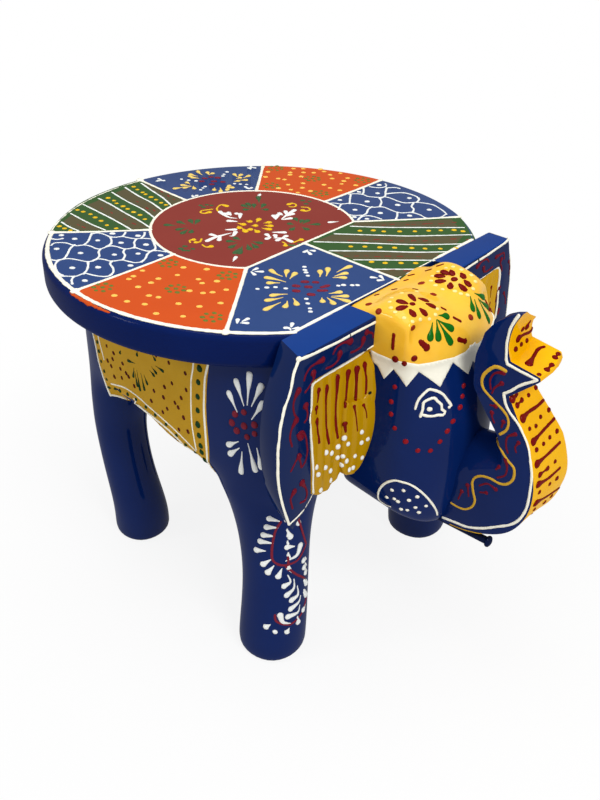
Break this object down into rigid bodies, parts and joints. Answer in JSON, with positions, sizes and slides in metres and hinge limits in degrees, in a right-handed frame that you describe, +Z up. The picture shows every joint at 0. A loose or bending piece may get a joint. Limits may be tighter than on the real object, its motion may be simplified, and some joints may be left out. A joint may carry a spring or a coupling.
{
  "type": "carved elephant stool",
  "caption": "Low carved and painted wooden stool in the shape of an elephant, with a round seat, carved legs, ears and a raised trunk.",
  "frame": {"origin": "on the floor, under the middle of the stool's bounding box", "axes": "+X forward, the way the trunk points; +Y to the elephant's left; +Z up"},
  "size_m": [0.326, 0.25, 0.237],
  "materials": {
    "seat_paint": "glossy lacquer over paint",
    "body_paint": "glossy lacquer over paint",
    "head_paint": "glossy lacquer over paint",
    "ear_paint": "glossy lacquer over paint",
    "trunk_paint": "glossy lacquer over paint",
    "bare_wood": "raw",
    "nail_steel": "dull",
    "putty": "matt filler"
  },
  "bodies": {
    "root": {"seat_top": "seat_paint", "body_core": "body_paint", "body_side_right": "body_paint", "body_side_left": "body_paint", "head_block": "head_paint", "ear_right": "ear_paint", "ear_left": "ear_paint", "trunk": "trunk_paint", "trunk_nail": "nail_steel", "ear_nails": "nail_steel", "body_dowels": "bare_wood", "head_dowels": "bare_wood", "trunk_dowels": "bare_wood", "seat_nails": "nail_steel", "seat_putty": "putty"}
  },
  "joints": []
}
